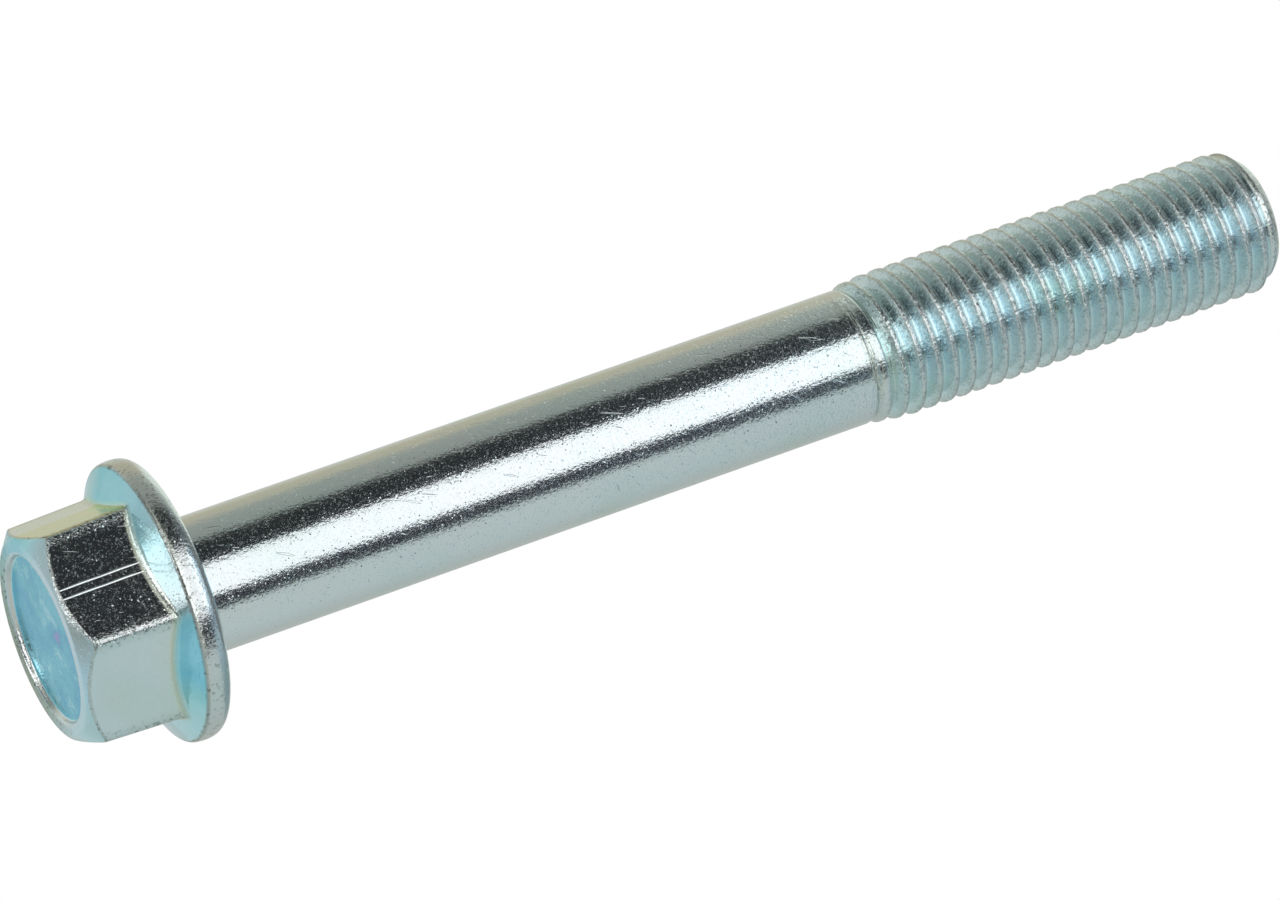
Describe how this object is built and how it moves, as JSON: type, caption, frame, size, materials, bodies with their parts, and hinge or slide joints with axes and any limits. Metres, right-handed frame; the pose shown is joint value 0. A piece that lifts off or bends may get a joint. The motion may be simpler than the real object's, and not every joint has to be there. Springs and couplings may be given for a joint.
{
  "type": "hex flange bolt",
  "caption": "Hex flange bolt with a shallow dished head, a plain shank and a rolled right-hand thread at its end, forged in steel with a bright zinc plating.",
  "frame": {"origin": "centre of the top of the head, on the surface that the bolt stands on", "axes": "+Z along the bolt's axis from the head to the end of the thread, +X towards the middle of a flat of the hex"},
  "size_m": [0.0188, 0.0188, 0.089],
  "materials": {
    "zinc_plated_steel": "bright zinc plating with a blue passivation"
  },
  "bodies": {
    "root": {"bolt": "zinc_plated_steel"}
  },
  "joints": []
}
